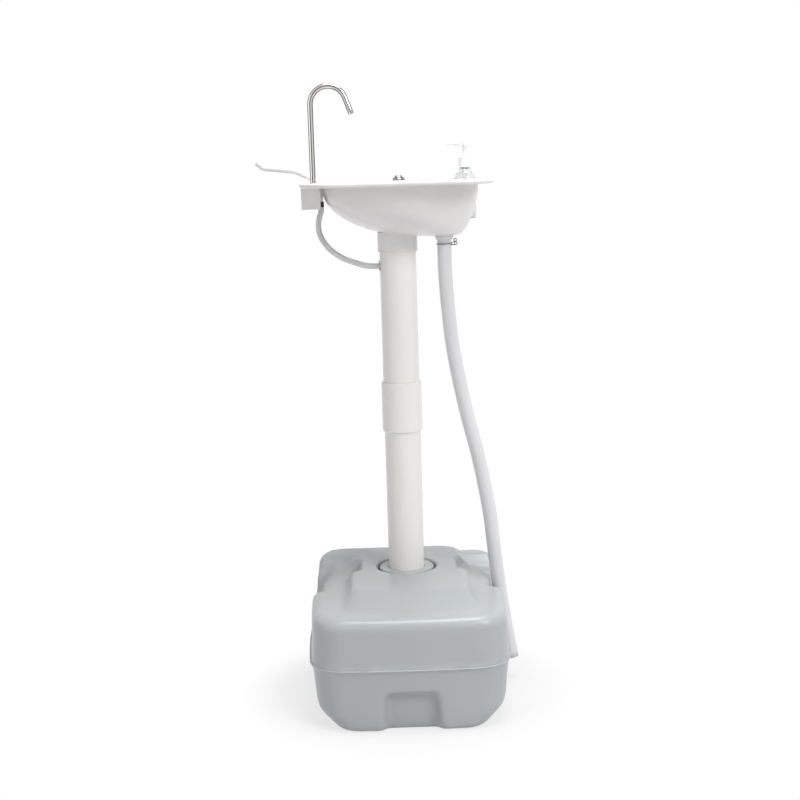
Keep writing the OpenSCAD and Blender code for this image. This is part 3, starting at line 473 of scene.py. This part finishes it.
middle = Vector((*TANK_MIDDLE, SEAM_HEIGHT))
drawn_in = [middle + (p - middle) * (1 - SEAM_SUNK / (p - middle).length)
            for p in seam_line]
seam = swept_tube("tank_seam", drawn_in, SEAM_RADIUS, sides=12, closed=True)
smooth(seam)
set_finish(seam, "tank")
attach(seam, "stand")
print("seam goes through", len(seam_line), "points,",
      round(length_of(seam_line + seam_line[:1]), 3), "m round")

# %% [markdown]
# The spout is thin steel tube, bent over in one plane. It is swept along an
# upright, an arc and a short straight end. Two attributes say where a point
# is round the tube, and a finish that reads them paints reflections into the
# colour, as streaks which follow the bend.

# %% Spout
SPOUT_RADIUS, SPOUT_WALL, SPOUT_BEND, SPOUT_END = 0.00475, 0.0009, 0.0305, 0.028
SPOUT_TURN = math.radians(162)
UPRIGHT_STEPS, BEND_STEPS, END_STEPS = 12, 36, 4


def spout_centreline():
    """Up from the tail, round the bend and out to the lip."""
    low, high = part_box("spout")
    x = low.x + SPOUT_RADIUS
    bend_z = high.z - SPOUT_RADIUS - SPOUT_BEND
    line = [Vector((x, 0, low.z + (bend_z - low.z) * k / UPRIGHT_STEPS))
            for k in range(UPRIGHT_STEPS)]
    for step in range(BEND_STEPS + 1):
        angle = SPOUT_TURN * step / BEND_STEPS
        line.append(Vector((x + SPOUT_BEND * (1 - math.cos(angle)), 0,
                            bend_z + SPOUT_BEND * math.sin(angle))))
    way = (line[-1] - line[-2]).normalized()
    return line + [line[-1] + way * SPOUT_END * k / END_STEPS
                   for k in range(1, END_STEPS + 1)]


def mark_round(piece, line, side):
    """Stores where each point is round its tube, as two attributes."""
    across = piece.data.attributes.new("round_side", "FLOAT", "POINT")
    outward = piece.data.attributes.new("round_out", "FLOAT", "POINT")
    for vertex in piece.data.vertices:
        k = min(range(len(line)), key=lambda i: (line[i] - vertex.co).length_squared)
        along = (line[min(k + 1, len(line) - 1)] - line[max(k - 1, 0)]).normalized()
        offset = (vertex.co - line[k]).normalized()
        across.data[vertex.index].value = offset.dot(side)
        outward.data[vertex.index].value = offset.dot(along.cross(side))


spout_line = spout_centreline()
spout = swept_tube("spout_tube", spout_line, SPOUT_RADIUS, sides=32)
mark_round(spout, spout_line, side=Vector((0, 1, 0)))
give_wall(spout, SPOUT_WALL)
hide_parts("spout")
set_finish(spout, "spout")
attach(spout, "spout")
print("spout tube", round(length_of(spout_line), 3), "m long")

# %% [markdown]
# Finishes, floor and world are all made of shader nodes. One helper adds a
# node with its settings, and one fills its inputs: a number or a colour is
# set on the input, and a socket of another node is linked to it.

# %% Helpers for shader nodes
def feed(node, inputs):
    """Sets inputs of a node to values, or links sockets to them."""
    for name, value in inputs.items():
        if isinstance(value, bpy.types.NodeSocket):
            node.id_data.links.new(value, node.inputs[name])
        else:
            node.inputs[name].default_value = value
    return node


def added(tree, kind, inputs, **settings):
    """A new shader node with its settings and inputs."""
    node = tree.nodes.new("ShaderNode" + kind)
    for name, value in settings.items():
        setattr(node, name, value)
    return feed(node, inputs)


def white_seen_directly(tree, white_kind, shaded, share=None):
    """Mixes plain white in for camera, glossy and transmission rays."""
    path = added(tree, "LightPath", {})
    seen = path.outputs["Is Camera Ray"]
    for kind in ("Is Glossy Ray", "Is Transmission Ray"):
        either = added(tree, "Math", {0: seen, 1: path.outputs[kind]},
                       operation="ADD", use_clamp=True)
        seen = either.outputs[0]
    if share is not None:
        seen = added(tree, "Math", {0: seen, 1: share}, operation="MULTIPLY").outputs[0]
    white = added(tree, white_kind, {"Color": (1, 1, 1, 1), "Strength": 1})
    return added(tree, "MixShader",
                 {"Fac": seen, 1: shaded, 2: white.outputs[0]}).outputs[0]


print("helpers: feed, added, white_seen_directly")

# %% [markdown]
# Three large lamps give the gentle shading that the photograph shows: the key
# stands on the right, a weak one fills the left side, and a soft box hangs
# above. The world is dim and a little warm, but it looks white to the camera,
# to gloss and to glass.

# %% World and lamps
WORLD_COLOUR, WORLD_STRENGTH = (1.0, 0.985, 0.975, 1), 0.40

bpy.context.scene.view_settings.view_transform = "Standard"
world = bpy.data.worlds.new("studio")
bpy.context.scene.world = world
world.use_nodes = True
world.node_tree.nodes.clear()
dim = added(world.node_tree, "Background",
            {"Color": WORLD_COLOUR, "Strength": WORLD_STRENGTH})
world_look = white_seen_directly(world.node_tree, "Background", dim.outputs[0])
added(world.node_tree, "OutputWorld", {"Surface": world_look})


def lamp(name, at, look_at, size, power):
    """A square area lamp that faces a point."""
    data = bpy.data.lights.new(name, "AREA")
    data.shape = "SQUARE"
    data.size = size
    data.energy = power
    holder = placed(name, data)
    holder.location = at
    away = Vector(at) - Vector(look_at)
    holder.rotation_euler = away.to_track_quat("Z", "Y").to_euler()


lamp("key on the right", at=(2.0, -2.2, 2.4), look_at=(0, 0, 0.5), size=1.2, power=48)
lamp("fill on the left", at=(-2.4, -1.8, 1.5), look_at=(0, 0, 0.5), size=1.6, power=8)
lamp("soft box above", at=(0.3, -0.2, 2.9), look_at=(0, 0, 0.2), size=1.4, power=58)
print("world and", len(bpy.data.lights), "lamps")

# %% [markdown]
# The floor is plain pale paper. Near the tank most of it looks as white as
# the world, and the rest is shaded paper, which keeps the tank's shadow. From
# a hand's breadth away from the tank it all looks white, so the floor has no
# horizon.

# %% Floor
HALF_FLOOR = 6
PAPER, PAPER_ROUGH = (0.68, 0.68, 0.69, 1), 0.9
SHADOW_TO, WHITE_FROM, WHITE_NEAR = 0.20, 0.31, 0.72

floor_mesh = bpy.data.meshes.new("floor")
builder = bmesh.new()
bmesh.ops.create_grid(builder, x_segments=1, y_segments=1, size=HALF_FLOOR)
builder.to_mesh(floor_mesh)
builder.free()
floor = placed("floor", floor_mesh)

paper = bpy.data.materials.new("floor paper")
paper.use_nodes = True
paper_tree = paper.node_tree
paper_shader = feed(paper_tree.nodes["Principled BSDF"],
                    {"Base Color": PAPER, "Roughness": PAPER_ROUGH})
paper_place = added(paper_tree, "TexCoord", {}).outputs["Object"]
from_tank = added(paper_tree, "VectorMath", {0: paper_place, 1: (*TANK_MIDDLE, 0)},
                  operation="SUBTRACT")
distance = added(paper_tree, "VectorMath", {0: from_tank.outputs["Vector"]},
                 operation="LENGTH")
whiteness = added(paper_tree, "MapRange",
                  {"Value": distance.outputs["Value"], "From Min": SHADOW_TO,
                   "From Max": WHITE_FROM, "To Min": WHITE_NEAR, "To Max": 1},
                  interpolation_type="SMOOTHSTEP")
paper_look = white_seen_directly(paper_tree, "Emission", paper_shader.outputs[0],
                                 share=whiteness.outputs["Result"])
feed(paper_tree.nodes["Material Output"], {"Surface": paper_look})
floor_mesh.materials.append(paper)
print("floor of", 2 * HALF_FLOOR, "m")

# %% [markdown]
# Every finish starts from a Principled shader. Each of its methods adds one
# thing that a flat colour lacks: a noise, a colour that moves between two
# tones, an uneven gloss or a bump in the surface.

# %% One class for every finish
NOISE_LOW, NOISE_HIGH = 0.1, 0.9
RAMP_LOW, RAMP_HIGH = 0.2, 0.8


class Finish:
    """A new material with short ways to add and join nodes."""

    def __init__(self, name, **inputs):
        self.material = bpy.data.materials.new(name)
        self.material.use_nodes = True
        self.tree = self.material.node_tree
        self.shader = feed(self.tree.nodes["Principled BSDF"],
                           {key.replace("_", " "): inputs[key] for key in inputs})
        self.place = self.add("TexCoord", {}).outputs["Object"]

    def add(self, kind, inputs, **settings):
        """A new node in this material."""
        return added(self.tree, kind, inputs, **settings)

    def stretched(self, scale):
        """The place on the object, scaled along each axis."""
        mapping = self.add("Mapping", {"Vector": self.place, "Scale": scale})
        return mapping.outputs["Vector"]

    def noise(self, scale, detail, where=None):
        """A cloudy value between 0 and 1."""
        cloud = self.add("TexNoise", {"Vector": where or self.place,
                                      "Scale": scale, "Detail": detail})
        return cloud.outputs["Fac"]

    def colours(self, value, one, other):
        """Moves the colour from one tone to the other with a value."""
        ramp = self.add("ValToRGB", {"Fac": value})
        low, high = ramp.color_ramp.elements
        low.position, high.position = RAMP_LOW, RAMP_HIGH
        low.color, high.color = (*one, 1), (*other, 1)
        feed(self.shader, {"Base Color": ramp.outputs["Color"]})

    def rough(self, value, low, high):
        """Moves the roughness from low to high with a value."""
        uneven = self.add("MapRange", {
            "Value": value, "From Min": NOISE_LOW, "From Max": NOISE_HIGH,
            "To Min": low, "To Max": high})
        feed(self.shader, {"Roughness": uneven.outputs["Result"]})

    def bump(self, height, depth, after=None):
        """Raises the surface by a height, on top of an earlier bump."""
        inputs = {"Height": height, "Distance": depth}
        if after is not None:
            inputs["Normal"] = after
        normal = self.add("Bump", inputs).outputs["Normal"]
        feed(self.shader, {"Normal": normal})
        return normal


MATERIALS = {}
print("a class for finishes")

# %% [markdown]
# Moulded plastic has a faint cloudiness in its colour, an uneven gloss and a
# fine grain. The tank's skin also has slow waves, as blown walls have.

# %% Moulded plastics
CLOUDS, GLOSS, WAVES = 5, 22, 14


def moulded(name, one, other, rough, grain=0.00001, grain_scale=900, wave=0.0):
    """Plastic from a mould: two near colours, uneven gloss and fine grain."""
    finish = Finish(name)
    finish.colours(finish.noise(CLOUDS, 2), one, other)
    finish.rough(finish.noise(GLOSS, 3), *rough)
    fine = finish.bump(finish.noise(grain_scale, 2), grain) if grain else None
    if wave:
        finish.bump(finish.noise(WAVES, 1), wave, after=fine)
    return finish.material


MATERIALS.update({
    "tank": moulded("tank plastic", (0.415, 0.44, 0.452), (0.44, 0.465, 0.477),
                    (0.28, 0.38), grain=0.00002, grain_scale=800, wave=0.0006),
    "tank_button": moulded("button plastic", (0.42, 0.445, 0.455),
                           (0.44, 0.465, 0.475), (0.38, 0.48)),
    "basin": moulded("basin plastic", (0.825, 0.805, 0.80), (0.84, 0.82, 0.815),
                     (0.24, 0.28), grain=0),
    "white_plastic": moulded("white plastic", (0.82, 0.82, 0.82),
                             (0.84, 0.84, 0.84), (0.28, 0.34)),
    "white_gloss": moulded("white enamel", (0.82, 0.82, 0.82),
                           (0.84, 0.84, 0.84), (0.14, 0.18), grain=0),
    "black_plastic": moulded("black plastic", (0.012, 0.012, 0.013),
                             (0.02, 0.02, 0.021), (0.35, 0.45)),
    "pale_rubber": moulded("pale rubber", (0.66, 0.66, 0.64),
                           (0.7, 0.7, 0.68), (0.6, 0.7)),
    "black_rubber": moulded("black rubber", (0.012, 0.012, 0.012),
                            (0.02, 0.02, 0.02), (0.6, 0.75)),
    "sleeve": moulded("sleeve plastic", (0.88, 0.86, 0.83), (0.89, 0.87, 0.84),
                      (0.27, 0.30), grain=0),
})
print(len(MATERIALS), "moulded finishes")

# %% [markdown]
# The pole is plastic pipe. Pipe is drawn out of a die, so its marks are long
# faint lines along it, and its gloss changes round it more than along it.

# %% Drawn pipe
ALONG_PIPE = (1, 1, 0.02)
LINE_DEPTH = 0.000008


def drawn(name, one, other, rough):
    """Plastic pipe with faint lines along its length."""
    finish = Finish(name)
    along = finish.stretched(ALONG_PIPE)
    finish.colours(finish.noise(60, 3, along), one, other)
    finish.rough(finish.noise(120, 2, along), *rough)
    finish.bump(finish.noise(300, 1, along), LINE_DEPTH)
    return finish.material


MATERIALS["pole"] = drawn("pole pipe", (0.875, 0.855, 0.825), (0.89, 0.87, 0.84),
                          (0.26, 0.34))
print("pipe finish added")

# %% [markdown]
# Polished steel shows its surroundings in long streaks, drawn out along the
# tube. In a white room they would vanish, so they are painted into the colour
# as reflections: on the spout a row of greys goes round the tube, and on the
# small pieces a noise moves the colour between light and dark.

# %% Metals
# Painted reflections: the spout's grey at each place round the tube.
SPOUT_REFLECTION_GREYS = [
    (0.0, 0.10), (0.10, 0.10), (0.20, 0.50), (0.34, 0.72), (0.44, 0.22),
    (0.52, 0.09), (0.60, 0.30), (0.70, 0.62), (0.84, 0.45), (0.93, 0.08),
    (1.0, 0.08)]
STEEL_GREEN, STEEL_BLUE = 0.975, 0.955


def metal(name, one, other, rough, lines=(1, 1, 1), scale=120):
    """Metal with painted reflections as light and dark patches, drawn out along one
    way.
    """
    finish = Finish(name, Metallic=1.0)
    where = finish.stretched(lines)
    finish.colours(finish.noise(scale, 2, where), one, other)
    finish.rough(finish.noise(scale * 2, 2, where), *rough)
    return finish.material


def reflection_streaked(name, greys, rough):
    """Metal with painted reflections as streaks along a tube, round every bend."""
    finish = Finish(name, Metallic=1.0)
    side, out = [finish.add("Attribute", {}, attribute_name=attribute).outputs["Fac"]
                 for attribute in ("round_side", "round_out")]
    place = finish.add("MapRange", {"Value": out, "From Min": -1})
    ramp = finish.add("ValToRGB", {"Fac": place.outputs["Result"]})
    stops = ramp.color_ramp.elements
    while len(stops) < len(greys):
        stops.new(0.5)
    for stop, (position, grey) in zip(stops, greys):
        stop.position = position
        stop.color = (grey, grey * STEEL_GREEN, grey * STEEL_BLUE, 1)
    feed(finish.shader, {"Base Color": ramp.outputs["Color"]})
    round_tube = finish.add("CombineXYZ", {"X": side, "Y": out}).outputs["Vector"]
    finish.rough(finish.noise(5, 2, round_tube), *rough)
    return finish.material


MATERIALS.update({
    # The spout's colour holds painted reflections.
    "spout": reflection_streaked("spout steel", SPOUT_REFLECTION_GREYS, (0.12, 0.18)),
    "steel": metal("strainer steel", (0.45, 0.45, 0.45), (0.68, 0.68, 0.68),
                   (0.2, 0.3)),
    "spring_steel": metal("spring wire", (0.12, 0.12, 0.125), (0.24, 0.24, 0.245),
                          (0.3, 0.42)),
    "chrome": metal("chrome plate", (0.03, 0.03, 0.03), (0.55, 0.55, 0.56),
                    (0.05, 0.1), lines=(0.3, 0.3, 3), scale=60),
})
print("metals added")

# %% [markdown]
# The hoses and the bottle let light through. Transmission in the same
# Principled shader does that, and what it leaves of the colour looks milky.

# %% Clear plastics
PLASTIC_IOR = 1.46


def clear(name, colour, transmission, rough):
    """Plastic that lets part of the light through."""
    finish = Finish(name, Base_Color=(*colour, 1), Transmission_Weight=transmission,
                    IOR=PLASTIC_IOR)
    finish.rough(finish.noise(60, 2), *rough)
    return finish.material


MATERIALS.update({
    "clear_hose": clear("clear hose vinyl", (0.90, 0.905, 0.91), 0.35, (0.14, 0.2)),
    "drain_hose": clear("milky hose vinyl", (0.76, 0.765, 0.785), 0.05, (0.26, 0.34)),
    "bottle": clear("bottle plastic", (0.93, 0.95, 0.95), 0.85, (0.08, 0.12)),
})
print("clear plastics added")

# %% [markdown]
# The record names a finish for every node. Copies and new pieces take theirs
# by the same names, so each finish is made once and shared.

# %% Dress every piece
def dress(thing, slot):
    """Gives an object the one finish of its slot."""
    thing.data.materials.clear()
    thing.data.materials.append(MATERIALS[slot])


for node_name, node in frame["nodes"].items():
    dress(node, slot_of[node_name])
pieces = [o for o in bpy.data.objects if o.type == "MESH" and "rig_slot" in o]
for piece in pieces:
    dress(piece, piece["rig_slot"])
print(len(pieces), "pieces and", len(frame["nodes"]), "nodes dressed")
